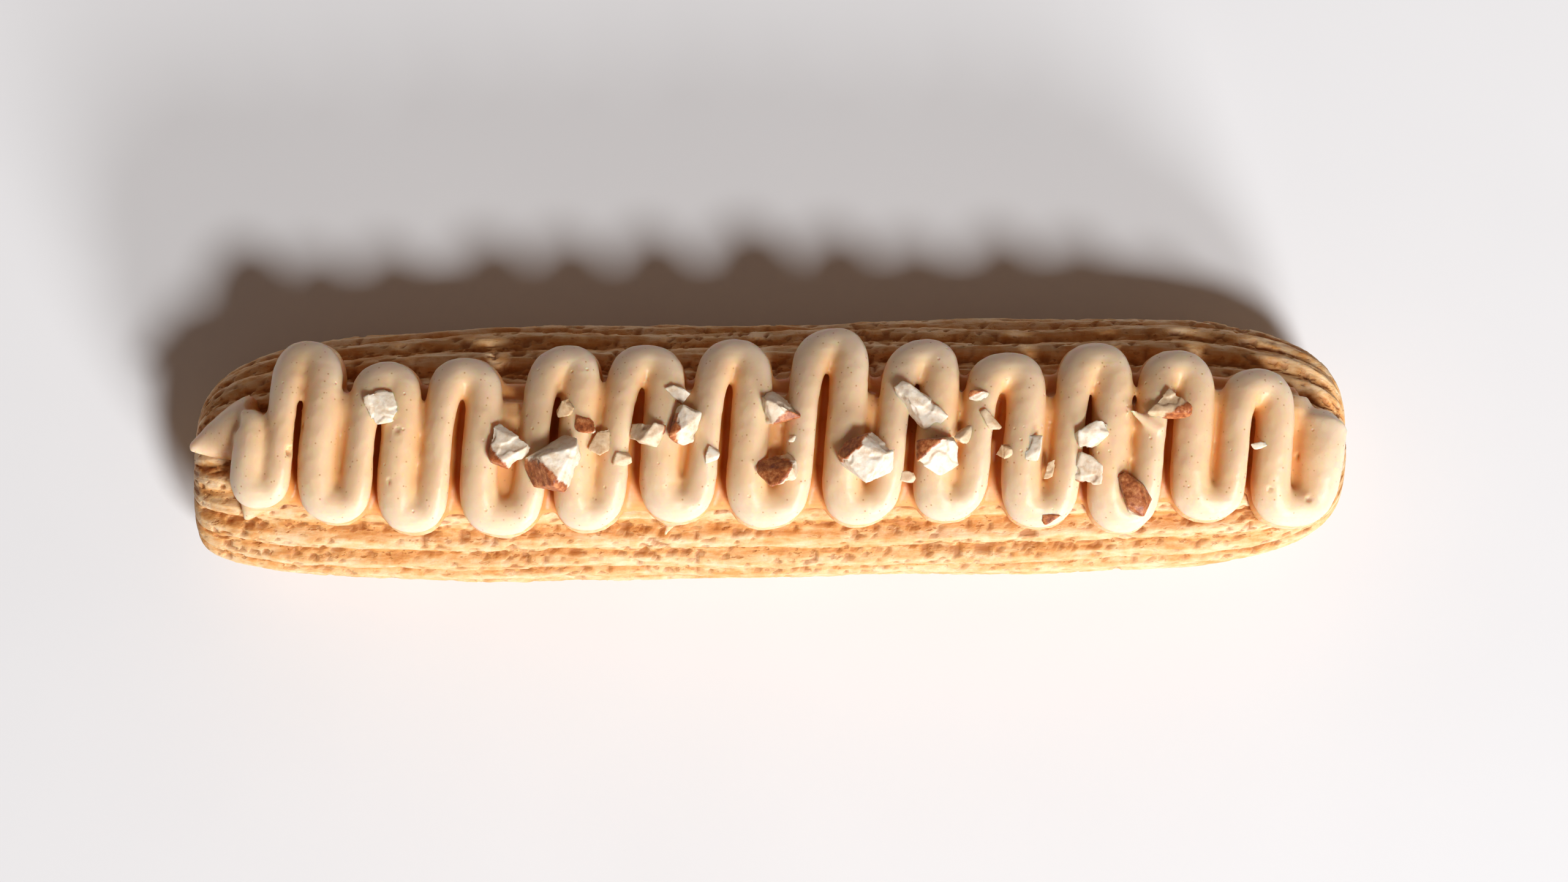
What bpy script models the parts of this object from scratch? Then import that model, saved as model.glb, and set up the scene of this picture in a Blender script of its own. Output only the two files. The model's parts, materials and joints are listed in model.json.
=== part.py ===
"""An eclair: a ridged choux bun, one zigzag rope of piped praline cream, chopped hazelnuts on top.

Metres, +Z up. The bun lies along X, its flat base is on Z = 0, and the origin is the middle of
its base. The cream was piped from the right end (+X) to the left.
"""

import math
import random

import bmesh
import bpy
from mathutils import Matrix, Vector, noise
from mathutils.bvhtree import BVHTree

MM = 0.001
GAP = 0.3 * MM  # room kept between neighbouring solids

# The bun
BUN_LENGTH = 145 * MM
BUN_WIDTH = 32.6 * MM
BUN_HEIGHT = 24 * MM
BELLY = 10.5 * MM  # height of its widest line
BASE_SINK = 1.3 * MM  # how much of the round underside the baking tray flattens
BUN_SKEW = 0.018  # the bun bends to +Y as it runs to +X
CROWN_ROUNDNESS = 2.25  # superellipse exponent of the upper half of the section
SOLE_ROUNDNESS = 3.0  # and of the lower half

# How blunt each end is, on its far (+Y) and its near side: exponent along X, then root
LEFT_END = ((5.5, 3.4), (2.6, 8.5))
RIGHT_END = ((6.5, 3.0), (6.5, 3.6))

# The ridges that the star nozzle left
RIDGES = 17
RIDGE_ARC = math.radians(262)  # they run round all but the sole
RIDGE_START = math.radians(90) - RIDGE_ARC / 2
GROOVE_DEPTH = 1.25 * MM
GROOVE_WANDER = math.radians(2.4)
COLUMNS_PER_RIDGE = 3
SOLE_COLUMNS = 9
BUN_RINGS = 36
SWELL = 0.5 * MM  # slow unevenness of the baked crust
SWELL_SPAN = 17 * MM

# The rope of cream: a flat foot that spread on the bun, and a taller crest that stands on it
FOOT_HALF_WIDTH = 2.75 * MM
FOOT_HALF_HEIGHT = 1.7 * MM
CREST_HALF_WIDTH = 2.55 * MM
CREST_HALF_HEIGHT = 2.6 * MM
CREST_LIFT = 2.3 * MM  # how much higher its underside is than the foot's
FOOT = (FOOT_HALF_WIDTH, FOOT_HALF_HEIGHT, 0.0)  # half width, half height and lift
CREST = (CREST_HALF_WIDTH, CREST_HALF_HEIGHT, CREST_LIFT)
ROPE_SINK = 1.0 * MM  # how far its underside would lie in the bun
# In the middle of its length, a pass that runs down to a near turn is narrow and leans to +X over
# its neighbour, and a pass that runs back up is wide and nearly upright
ARM_WIDTH = (0.68, 0.93)  # share of the half widths
ARM_LEAN = (0.38, 0.16)  # share of the height
SLANT = 0.09  # the whole zigzag slants, tops to the right
STEPS_PER_PASS = 14
TUBE_ROUNDNESS = 3
BLEND_GRAIN = 0.5 * MM  # the passes flow together where they are closer than this
CREAM_TRIANGLES = 6300
ROUND_TURN = 0.36  # 0 is a pointed turn, 0.25 a nearly circular one, 0.5 a square one

# Where the rope turns: (x, y) of its centre line in mm, right to left, near and far side in turn.
# The rope begins part of the way along the first pass and ends in a pulled tail at the last turn.
TURNS = (
    (70.4, 5.4),
    (63.7, -7.6), (59.6, 6.7), (53.7, -7.0), (49.6, 8.9), (43.0, -8.5), (40.0, 9.8),
    (32.8, -7.9), (29.1, 8.6), (21.2, -7.2), (19.3, 10.3), (10.3, -7.6), (8.0, 11.8),
    (-0.7, -7.9), (-4.6, 10.3), (-11.4, -7.3), (-15.3, 9.6), (-22.7, -8.3), (-24.8, 9.6),
    (-33.0, -8.9), (-37.9, 8.0), (-43.8, -8.6), (-47.3, 7.5), (-53.2, -7.4), (-57.6, 10.3),
    (-62.7, -5.6), (-65.2, 2.6),
)  # fmt: skip

# A pass runs on past its turn, inside the next one: share of the next pass, share of the radius
HIDDEN_RUN = ((0.1, 0.9), (0.22, 0.5))
ROPE_BEGINS = 0.38  # share of the first pass that is missing
BEGIN_SWELL = 1.62  # the rope is this much thicker where piping began
END_TAPER = (0.5, 0.6)  # from half of the last pass on, the rope thins to this share

# The cream that fills the inside of each turn: a level bed in the near turns, a steep ramp in the
# far ones. At its two ends: how far in from the turn, how far below the crest, and radius, in mm
NEAR_DISH = ((1.2, 2.0, 2.0), (12.0, 1.2, 2.3))
FAR_DISH = ((0.6, 1.3, 1.9), (3.4, 5.2, 1.5))
USUAL_SPREAD = 10.4  # a dish is larger in a turn that opens wider than this, in mm

# The bed of cream under the rope, of flat lanes side by side: its ends along X, how far aside each
# lane lies, and half a lane's section, in mm
MAT_ENDS = (-62.0, 65.0)
MAT_LANES = (0.0, -4.5, 4.5)
MAT_HALF_WIDTH = 3.6
MAT_HALF_HEIGHT = 1.6

# Peaks that the cream was pulled into, the rope's tail first: root, tip and root radius in mm
BROAD_PEAKS = (
    ((-63.4, 2.3, 21.8), (-72.2, -0.4, 21.2), 4.2),
    ((-63.0, -5.6, 22.8), (-65.3, -9.3, 20.6), 2.2),
)
THIN_PEAKS = (
    ((-9.6, -4.6, 28.0), (-13.2, -11.3, 22.3), 1.4),
    ((47.6, 1.2, 29.8), (43.7, 3.8, 30.6), 0.8),
)
PEAK_SWELL = 1.6  # 1 is a straight cone, more is fuller
BROAD_TIP = 0.45 * MM
THIN_TIP = 0.12 * MM

# Hazelnut pieces as large as small berries, each a node: (x, y), (length, width, height) in mm,
# turn about Z in degrees, and the seed of its broken shape.
NUTS = (
    ((11.8, -2.3), (6.6, 6.0, 4.6), 20, 3),
    ((18.1, 3.9), (8.2, 3.9, 3.0), -40, 11),
    ((20.1, -1.9), (5.8, 4.9, 4.0), 15, 5),
    ((-26.6, -2.5), (7.6, 6.4, 5.0), 68, 8),
    ((-31.9, -0.7), (5.4, 5.2, 3.8), -20, 21),
    ((1.1, 4.5), (5.2, 4.7, 3.6), 10, 7),
    ((0.9, -3.5), (4.8, 4.5, 3.8), 35, 14),
    ((48.6, 4.6), (5.9, 3.9, 2.8), 4, 9),
    ((43.9, -6.7), (5.0, 4.6, 2.6), -25, 17),
    ((39.1, 0.9), (4.4, 3.4, 2.8), 12, 23),
    ((38.9, -3.4), (4.7, 3.6, 2.8), -14, 12),
    ((-10.4, 1.9), (4.8, 3.8, 3.4), 62, 19),
    ((-15.2, 1.3), (4.6, 3.6, 2.8), -18, 4),
    ((-47.7, 4.2), (4.6, 4.2, 2.0), 8, 6),
)
NUT_CORNERS = 13
NUT_BED = 1.1 * MM  # how deep a piece sits in the cream

# Smaller chips, fused to the cream: (x, y), (length, width) in mm, and turn in degrees.
CHIPS = (
    ((-25.1, 3.9), (2.6, 2.1), 30),
    ((-22.6, 1.7), (2.9, 2.2), -20),
    ((-20.6, -0.2), (3.8, 2.8), 40),
    ((-18.2, -2.2), (2.6, 2.0), 10),
    ((-11.4, 6.0), (3.2, 2.0), -35),
    ((-7.6, -1.6), (2.8, 2.2), 15),
    ((2.6, 0.3), (1.5, 1.2), 0),
    ((23.6, 1.0), (2.8, 2.2), 70),
    ((25.4, 5.4), (2.7, 1.7), -12),
    ((26.8, 2.3), (4.0, 1.7), -48),
    ((28.3, -1.2), (2.3, 2.1), 20),
    ((32.0, -0.7), (3.6, 2.4), 75),
    ((34.4, -3.3), (3.4, 2.0), 25),
    ((34.4, -9.6), (2.8, 1.5), -4),
    ((60.4, -0.4), (4.3, 1.0), 6),
    ((16.6, -4.4), (2.2, 1.6), -15),
)
CHIP_HEIGHT = 0.62  # of its width
CHIP_CORNERS = 10
CHIP_BED = 0.6 * MM


def clear_scene():
    for found in list(bpy.data.objects):
        bpy.data.objects.remove(found)


def new_collection(name, shown=True):
    made = bpy.data.collections.new(name)
    made.hide_render = not shown
    bpy.context.scene.collection.children.link(made)
    return made


def new_object(name, mesh, collection):
    made = bpy.data.objects.new(name, mesh)
    collection.objects.link(made)
    return made


def material(name, colour, roughness):
    made = bpy.data.materials.new(name)
    made.use_nodes = True
    shader = made.node_tree.nodes["Principled BSDF"]
    shader.inputs["Base Color"].default_value = (*colour, 1)
    shader.inputs["Roughness"].default_value = roughness
    shader.inputs["Metallic"].default_value = 0
    return made


# ---- the bun ----------------------------------------------------------------------------------


def fullness(x, side=0.0):
    """How much of its full section the bun has at x: 1 in the middle, 0 at the tips.

    Side is 1 for the bun's far edge and -1 for its near one.
    """
    far, near = LEFT_END if x < 0 else RIGHT_END
    share = min(1.0, abs(2 * x / BUN_LENGTH))
    full_far = (1 - share ** far[0]) ** (1 / far[1])
    full_near = (1 - share ** near[0]) ** (1 / near[1])
    blend_to_far = (1 + side) / 2
    return full_far * blend_to_far + full_near * (1 - blend_to_far)


def bun_point(x, turn, out=0.0):
    """A point of the bun's smooth skin at x, turned from +Y over the top, moved out by out."""
    across, up = math.cos(turn), math.sin(turn)
    full = fullness(x, across)
    power = CROWN_ROUNDNESS if up > 0 else SOLE_ROUNDNESS
    reach = (abs(across) ** power + abs(up) ** power) ** (-1 / power)
    half_width = BUN_WIDTH / 2 * full + out
    rise = (BUN_HEIGHT - BELLY if up > 0 else BELLY + BASE_SINK) * full + out
    y = BUN_SKEW * x + half_width * reach * across
    return Vector((x, y, BELLY + rise * reach * up))


def crown_height(x, y):
    """Height of the bun's smooth top over (x, y)."""
    aside = y - BUN_SKEW * x
    full = fullness(x, math.copysign(min(1.0, abs(2 * aside / BUN_WIDTH)), aside))
    off_centre = abs(aside) / (BUN_WIDTH / 2 * full + 1e-9)
    top = max(0.0, 1 - min(1.0, off_centre) ** CROWN_ROUNDNESS) ** (1 / CROWN_ROUNDNESS)
    return BELLY + (BUN_HEIGHT - BELLY) * full * top


def swell(x, turn):
    """Slow unevenness of the crust, never outwards, so that the driving sizes hold."""
    at = Vector((x / SWELL_SPAN, math.cos(turn) * 1.3, math.sin(turn) * 1.3))
    return -SWELL * (0.5 + noise.noise(at))


def groove(x, number):
    """Depth of the groove before ridge number at x: uneven, and fading out at the tips."""
    wave = 0.75 + 0.5 * noise.noise(Vector((x / (14 * MM), number * 3.7, 0.5)))
    return GROOVE_DEPTH * wave * fullness(x)


def bun_columns():
    """(turn, ridge number or None) of each column of vertices round the bun."""
    ridge_columns = RIDGES * COLUMNS_PER_RIDGE
    columns = []
    for i in range(ridge_columns + 1):
        number = i // COLUMNS_PER_RIDGE if i % COLUMNS_PER_RIDGE == 0 else None
        columns.append((RIDGE_START + RIDGE_ARC * i / ridge_columns, number))
    sole_arc = math.tau - RIDGE_ARC
    for i in range(1, SOLE_COLUMNS):
        columns.append((RIDGE_START + RIDGE_ARC + sole_arc * i / SOLE_COLUMNS, None))
    return columns


def ball(columns, rings):
    """A unit ball with its poles on X, as a new bmesh, and each vertex's (ring, column)."""
    made = bmesh.new()
    bmesh.ops.create_uvsphere(made, u_segments=columns, v_segments=rings, radius=1)
    places = {}
    for vertex in made.verts:
        polar = math.acos(max(-1.0, min(1.0, vertex.co.z)))
        turn = math.atan2(vertex.co.y, vertex.co.x) % math.tau
        ring = round(polar / math.pi * rings)
        places[vertex] = (ring, round(turn / math.tau * columns) % columns)
    return made, places


def bun_mesh(name):
    columns = bun_columns()
    made, places = ball(len(columns), BUN_RINGS)
    for vertex, (ring, column) in places.items():
        x = BUN_LENGTH / 2 * math.cos(math.pi * ring / BUN_RINGS)
        turn, number = columns[column]
        on_sole = column > RIDGES * COLUMNS_PER_RIDGE
        if not on_sole:
            turn += GROOVE_WANDER * noise.noise(Vector((x / (22 * MM), turn * 1.5, 9)))
        depth = groove(x, number) if number is not None else 0.0
        place = bun_point(x, turn, 0 if on_sole else swell(x, turn) - depth)
        place.z = max(0.0, place.z)
        vertex.co = place
    mesh = bpy.data.meshes.new(name)
    made.to_mesh(mesh)
    made.free()
    mesh.shade_smooth()
    mesh.set_sharp_from_angle(angle=math.radians(60))
    return mesh


def bun_cutter(collection):
    """The bun without its ridges and a little larger: what the cream must stay out of."""
    columns, rings = 30, 24
    facet_sag = 0.2 * MM
    made, places = ball(columns, rings)
    for vertex, (ring, column) in places.items():
        x = BUN_LENGTH / 2 * math.cos(math.pi * ring / rings)
        turn = math.tau * column / columns
        vertex.co = bun_point(x, turn, GAP + facet_sag)
        vertex.co.x += math.copysign(GAP, x)
    mesh = bpy.data.meshes.new("bun_room")
    made.to_mesh(mesh)
    made.free()
    return new_object("bun_room", mesh, collection)


# ---- the rope of cream ------------------------------------------------------------------------


def pass_point(number, share):
    """(x, y) of the rope's centre line on pass number, from one turn (share 0) to the next."""
    (x0, y0), (x1, y1) = TURNS[number], TURNS[number + 1]
    start, end = x0 - SLANT * y0, x1 - SLANT * y1
    swing = math.cos(math.pi * share)
    swing += ROUND_TURN * (swing - swing**3)
    y = (y0 + y1) / 2 + (y0 - y1) / 2 * swing
    x = start + (end - start) * (share + math.sin(math.tau * share) / math.tau)
    return (x + SLANT * y) * MM, y * MM


def rope_thickness(number, share):
    """Thickness of the rope as a share of the usual, along all its passes."""
    thick = 1 + 0.05 * noise.noise(Vector((number + share, 4.2, 0)) * 0.9)
    if number == 0:
        thick *= BEGIN_SWELL - (BEGIN_SWELL - 1) * share
    if number == len(TURNS) - 2:
        begins, end_share = END_TAPER
        thick *= 1 - (1 - end_share) * max(0.0, (share - begins) / (1 - begins)) ** 1.5
    return thick


def arm_width(number, share):
    """The share of the rope's usual width that a pass has there: 1 at the turns and the start."""
    if number == 0:
        return 1.0
    return 1 + (ARM_WIDTH[number % 2] - 1) * math.sin(math.pi * share) ** 2


def tube(name, points, radii, collection):
    """A capped tube along points, as a mesh object. It is a poly curve with a round bevel."""
    curve = bpy.data.curves.new(name, "CURVE")
    curve.dimensions = "3D"
    curve.bevel_depth = 1.0
    curve.bevel_resolution = TUBE_ROUNDNESS
    curve.use_fill_caps = True
    spline = curve.splines.new("POLY")
    spline.points.add(len(points) - 1)
    for point, place, radius in zip(spline.points, points, radii):
        point.co = (*place, 1)
        point.radius = radius
    guide = new_object(name + "_guide", curve, collection)
    bpy.context.view_layer.update()
    graph = bpy.context.evaluated_depsgraph_get()
    mesh = bpy.data.meshes.new_from_object(guide.evaluated_get(graph))
    bpy.data.objects.remove(guide)
    cleaned = bmesh.new()
    cleaned.from_mesh(mesh)
    bmesh.ops.remove_doubles(cleaned, verts=cleaned.verts, dist=0.01 * MM)
    bmesh.ops.recalc_face_normals(cleaned, faces=cleaned.faces)
    cleaned.to_mesh(mesh)
    cleaned.free()
    return new_object(name, mesh, collection)


def section_matrix(number, half_width, half_height):
    """Turns a round tube into a section of those sizes that leans to +X."""
    stretch = half_height / half_width
    made = Matrix.Identity(4)
    made[2][2] = stretch
    made[0][2] = ARM_LEAN[number % 2] * stretch
    return made


def rope_centre(number, share, half_height, lift):
    """Its height keeps the crest level where the rope is narrow, and lower where it is thick."""
    x, y = pass_point(number, share)
    thick = rope_thickness(number, share)
    level = 2.4 - 0.4 * thick - arm_width(number, share) - max(0.0, thick - 1)
    z = crown_height(x, y * 0.96) + half_height * level + lift - ROPE_SINK
    return Vector((x, y, z))


def rope_pass(name, number, half_width, half_height, lift, collection):
    """One pass of the foot or the crest. Both ends run on, thinner, inside their neighbours."""
    last = len(TURNS) - 2
    begins = ROPE_BEGINS if number == 0 else 0.0
    shares = [begins + (1 - begins) * i / STEPS_PER_PASS for i in range(STEPS_PER_PASS + 1)]
    centres = [rope_centre(number, share, half_height, lift) for share in shares]
    radii = [half_width * rope_thickness(number, share) * arm_width(number, share) for share in shares]
    if number == 0:
        centres.insert(0, centres[0] + Vector((0.4, 1.3, -0.7)) * MM)
        radii.insert(0, radii[0] * 0.55)
    else:
        for share, radius in HIDDEN_RUN:
            centres.insert(0, rope_centre(number - 1, 1 - share, half_height, lift))
            radii.insert(0, half_width * radius)
    if number < last:
        for share, radius in HIDDEN_RUN:
            centres.append(rope_centre(number + 1, share, half_height, lift))
            radii.append(half_width * radius)
    shape = section_matrix(number, half_width, half_height)
    back = shape.inverted()
    made = tube(name, [back @ centre for centre in centres], radii, collection)
    made.data.transform(shape)
    return made


def dish(number, collection):
    """The cream inside one turn, from just under its crest inwards."""
    x, y = TURNS[number]
    near = y < 0
    inward = 1 if near else -1
    crest = rope_centre(number, 0.0, CREST_HALF_HEIGHT, CREST_LIFT).z + CREST_HALF_HEIGHT
    spread = (TURNS[number - 1][0] - TURNS[number + 1][0]) / USUAL_SPREAD
    ends, widths = [], []
    for reach, below, radius in NEAR_DISH if near else FAR_DISH:
        radius *= spread
        along = inward * reach
        end = Vector((x + SLANT * along, y + along, 0)) * MM
        end.z = crest - (below + radius) * MM
        ends.append(end)
        widths.append(radius * MM)
    down = (ends[1] - ends[0]).normalized()
    centres = [ends[0] - down * widths[0] * 0.7, *ends, ends[1] + down * widths[1] * 0.7]
    radii = [widths[0] * 0.6, *widths, widths[1] * 0.6]
    return tube(f"dish_{number:02d}", centres, radii, collection)


def mat_lane(name, aside, collection):
    begin, end = MAT_ENDS
    steps = 20
    flatten = Matrix.Diagonal((1, 1, MAT_HALF_HEIGHT / MAT_HALF_WIDTH, 1))
    centres, radii = [], []
    for i in range(steps + 1):
        share = i / steps
        x = (begin + (end - begin) * share) * MM
        y = BUN_SKEW * x + aside * MM
        centres.append(flatten.inverted() @ Vector((x, y, crown_height(x, y))))
        radii.append(MAT_HALF_WIDTH * MM * min(1.0, 0.45 + 5 * min(share, 1 - share)))
    made = tube(name, centres, radii, collection)
    made.data.transform(flatten)
    return made


def peak(name, root, tip, radius, tip_radius, collection):
    """A pulled-out tip of cream: a tube that narrows from its root to a point."""
    root, tip = Vector(root) * MM, Vector(tip) * MM
    sag = Vector((0, 0, -0.06)) * (tip - root).length
    steps = 5
    centres, radii = [], []
    for i in range(steps + 1):
        share = i / steps
        centres.append(root.lerp(tip, share) + sag * math.sin(math.pi * share))
        radii.append(tip_radius + (radius * MM - tip_radius) * (1 - share**PEAK_SWELL))
    return tube(name, centres, radii, collection)


# ---- the nuts ---------------------------------------------------------------------------------


def broken_nut(name, size, turn, corners, seed, grow=0.0):
    """A broken piece of nut: the hull of random corners in a box of that size, centre at 0."""
    draw = random.Random(seed)
    half = [side / 2 for side in size]
    found = []
    for _ in range(corners):
        corner = Vector([draw.uniform(-1, 1) for _ in range(3)])
        found.append(corner / (sum(abs(c) ** 4 for c in corner)) ** 0.25)
    reach = [max(abs(corner[axis]) for corner in found) for axis in range(3)]
    made = bmesh.new()
    for corner in found:
        made.verts.new([c * (h + grow) / r for c, h, r in zip(corner, half, reach)])
    hull = bmesh.ops.convex_hull(made, input=made.verts)
    loose = {v for v in hull["geom_interior"] if isinstance(v, bmesh.types.BMVert)}
    bmesh.ops.delete(made, geom=list(loose), context="VERTS")
    bmesh.ops.recalc_face_normals(made, faces=made.faces)
    mesh = bpy.data.meshes.new(name)
    made.to_mesh(mesh)
    made.free()
    mesh.transform(Matrix.Rotation(math.radians(turn), 4, "Z"))
    return mesh


def surface_under(tree, x, y, reach):
    """Height that a piece of that reach rests at: the highest of a few points under it."""
    heights = []
    for angle in range(0, 360, 45):
        for share in (0.0, 0.75):
            ahead = Vector((math.cos(math.radians(angle)), math.sin(math.radians(angle)), 0))
            above = Vector((x, y, 2 * BUN_HEIGHT)) + ahead * reach * share
            hit = tree.ray_cast(above, Vector((0, 0, -1)))[0]
            if hit:
                heights.append(hit.z)
    return max(heights)


def place_chips(tree, collection):
    for i, ((x, y), (length, width), turn) in enumerate(CHIPS):
        size = (length * MM, width * MM, width * CHIP_HEIGHT * MM)
        mesh = broken_nut(f"chip_{i:02d}", size, turn, CHIP_CORNERS, 100 + i)
        chip = new_object(mesh.name, mesh, collection)
        rest = surface_under(tree, x * MM, y * MM, size[1] / 2)
        chip.location = (x * MM, y * MM, rest + size[2] / 2 - CHIP_BED)


def place_nuts(tree, parts, rooms, finish):
    """Each large piece as a node, and in rooms the same piece GAP larger all round."""
    for i, ((x, y), size_mm, turn, seed) in enumerate(NUTS):
        size = [side * MM for side in size_mm]
        rest = surface_under(tree, x * MM, y * MM, size[1] / 2)
        place = Vector((x * MM, y * MM, rest + size[2] / 2 - NUT_BED))
        name = f"nut_{i + 1:02d}"
        mesh = broken_nut(name, size, turn, NUT_CORNERS, seed)
        mesh.materials.append(finish)
        new_object(name, mesh, parts).location = place
        room = broken_nut(name + "_room", size, turn, NUT_CORNERS, seed, grow=1.35 * GAP)
        new_object(room.name, room, rooms).location = place


# ---- joining and cutting ----------------------------------------------------------------------


def apply_modifiers(target):
    bpy.context.view_layer.update()
    graph = bpy.context.evaluated_depsgraph_get()
    mesh = bpy.data.meshes.new_from_object(target.evaluated_get(graph))
    target.modifiers.clear()
    target.data = mesh


def boolean(target, operation, other):
    """Applies one Boolean to target, with an object or a whole collection."""
    modifier = target.modifiers.new(operation.lower(), "BOOLEAN")
    modifier.operation = operation
    modifier.solver = "MANIFOLD"
    if isinstance(other, bpy.types.Collection):
        modifier.operand_type = "COLLECTION"
        modifier.collection = other
    else:
        modifier.object = other
    apply_modifiers(target)


def blend(target):
    """Flows joined pieces of cream together into one soft skin of CREAM_TRIANGLES triangles."""
    skin = target.modifiers.new("skin", "REMESH")
    skin.mode = "VOXEL"
    skin.voxel_size = BLEND_GRAIN
    soften = target.modifiers.new("soften", "SMOOTH")
    soften.factor = 0.5
    soften.iterations = 3
    apply_modifiers(target)
    keep_largest(target)
    thin_out = target.modifiers.new("thin_out", "DECIMATE")
    thin_out.ratio = CREAM_TRIANGLES / (2 * len(target.data.polygons))
    apply_modifiers(target)


def keep_largest(target):
    """Drops the loose scraps that a cut leaves."""
    made = bmesh.new()
    made.from_mesh(target.data)
    groups, seen = [], set()
    for start in made.verts:
        if start in seen:
            continue
        group, waiting = [], [start]
        seen.add(start)
        while waiting:
            vertex = waiting.pop()
            group.append(vertex)
            for edge in vertex.link_edges:
                other = edge.other_vert(vertex)
                if other not in seen:
                    seen.add(other)
                    waiting.append(other)
        groups.append(group)
    groups.sort(key=len)
    bmesh.ops.delete(made, geom=[v for group in groups[:-1] for v in group], context="VERTS")
    made.to_mesh(target.data)
    made.free()


def remove_collection(collection):
    for found in list(collection.objects):
        bpy.data.objects.remove(found)
    bpy.data.collections.remove(collection)


def tree_of(target):
    made = bmesh.new()
    made.from_mesh(target.data)
    made.transform(target.matrix_world)
    tree = BVHTree.FromBMesh(made)
    made.free()
    return tree


def build():
    clear_scene()
    parts = new_collection("eclair")
    cutters = new_collection("cutters", shown=False)
    nut_rooms = new_collection("nut_rooms", shown=False)
    passes = new_collection("passes", shown=False)

    crust = material("baked_choux", (0.56, 0.30, 0.12), 0.75)
    praline = material("praline_cream", (0.80, 0.60, 0.38), 0.5)
    hazelnut = material("hazelnut", (0.72, 0.55, 0.36), 0.6)

    bun = new_object("choux", bun_mesh("choux"), parts)
    bun.data.materials.append(crust)

    for number in range(len(TURNS) - 1):
        rope_pass(f"foot_{number:02d}", number, *FOOT, passes)
        rope_pass(f"crest_{number:02d}", number, *CREST, passes)
    for number in range(1, len(TURNS) - 2):
        dish(number, passes)
    for i, (root, tip, radius) in enumerate(BROAD_PEAKS):
        peak(f"broad_peak_{i}", root, tip, radius, BROAD_TIP, passes)
    for aside in MAT_LANES[1:]:
        mat_lane(f"lane_{aside:.0f}", aside, passes)
    cream = mat_lane("cream", MAT_LANES[0], parts)
    boolean(cream, "UNION", passes)
    remove_collection(passes)
    blend(cream)

    tree = tree_of(cream)
    details = new_collection("details", shown=False)
    for i, (root, tip, radius) in enumerate(THIN_PEAKS):
        peak(f"thin_peak_{i}", root, tip, radius, THIN_TIP, details)
    place_chips(tree, details)
    place_nuts(tree, parts, nut_rooms, hazelnut)
    boolean(cream, "UNION", details)
    remove_collection(details)
    boolean(cream, "DIFFERENCE", bun_cutter(cutters))
    boolean(cream, "DIFFERENCE", nut_rooms)
    keep_largest(cream)
    cream.data.name = "cream"
    cream.data.materials.clear()
    cream.data.materials.append(praline)
    cream.data.shade_smooth()
    cream.data.set_sharp_from_angle(angle=math.radians(35))
    remove_collection(cutters)
    remove_collection(nut_rooms)


build()
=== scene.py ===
"""The looks of an eclair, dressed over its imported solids.

Metres, +Z up, in the frame's own axes: the bun lies along X with its flat base on Z = 0. The bun,
the cream and each large piece of nut replace the CAD node that they stand for.
"""

import json
import math
import random

import bmesh
import bpy
import numpy as np
from mathutils import Matrix, Vector, noise
from mathutils.bvhtree import BVHTree

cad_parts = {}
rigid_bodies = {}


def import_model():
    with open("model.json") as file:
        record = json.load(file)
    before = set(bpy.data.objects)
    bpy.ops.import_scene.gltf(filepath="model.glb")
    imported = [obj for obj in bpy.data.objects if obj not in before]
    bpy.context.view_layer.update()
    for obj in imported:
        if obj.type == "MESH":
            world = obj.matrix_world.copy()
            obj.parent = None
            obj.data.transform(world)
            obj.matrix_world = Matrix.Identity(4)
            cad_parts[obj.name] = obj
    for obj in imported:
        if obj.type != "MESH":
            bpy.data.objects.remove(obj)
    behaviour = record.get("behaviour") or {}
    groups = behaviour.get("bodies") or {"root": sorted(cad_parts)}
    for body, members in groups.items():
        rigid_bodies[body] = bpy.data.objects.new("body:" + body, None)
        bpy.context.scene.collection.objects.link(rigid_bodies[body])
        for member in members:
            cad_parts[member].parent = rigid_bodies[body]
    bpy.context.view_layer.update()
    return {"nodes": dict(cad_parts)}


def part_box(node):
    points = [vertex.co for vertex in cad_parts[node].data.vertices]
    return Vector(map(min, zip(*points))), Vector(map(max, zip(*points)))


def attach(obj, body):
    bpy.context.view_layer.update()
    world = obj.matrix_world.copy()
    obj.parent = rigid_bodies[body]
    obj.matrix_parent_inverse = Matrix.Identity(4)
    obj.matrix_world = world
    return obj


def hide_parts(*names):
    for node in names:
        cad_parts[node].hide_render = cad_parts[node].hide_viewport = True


MM = 0.001

# ---- sizes shared with the CAD source ----------------------------------------------------------

BUN_LENGTH = 145 * MM
BUN_WIDTH = 32.6 * MM
BUN_HEIGHT = 24 * MM
BELLY = 10.5 * MM
BASE_SINK = 1.3 * MM
BUN_SKEW = 0.018
CROWN_ROUNDNESS = 2.25
SOLE_ROUNDNESS = 3.0
LEFT_END = ((5.5, 3.4), (2.6, 8.5))
RIGHT_END = ((6.5, 3.0), (6.5, 3.6))
RIDGES = 17
RIDGE_ARC = math.radians(262)
RIDGE_START = math.radians(90) - RIDGE_ARC / 2
GROOVE_DEPTH = 1.25 * MM
GROOVE_WANDER = math.radians(2.4)
SWELL = 0.5 * MM
SWELL_SPAN = 17 * MM

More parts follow.
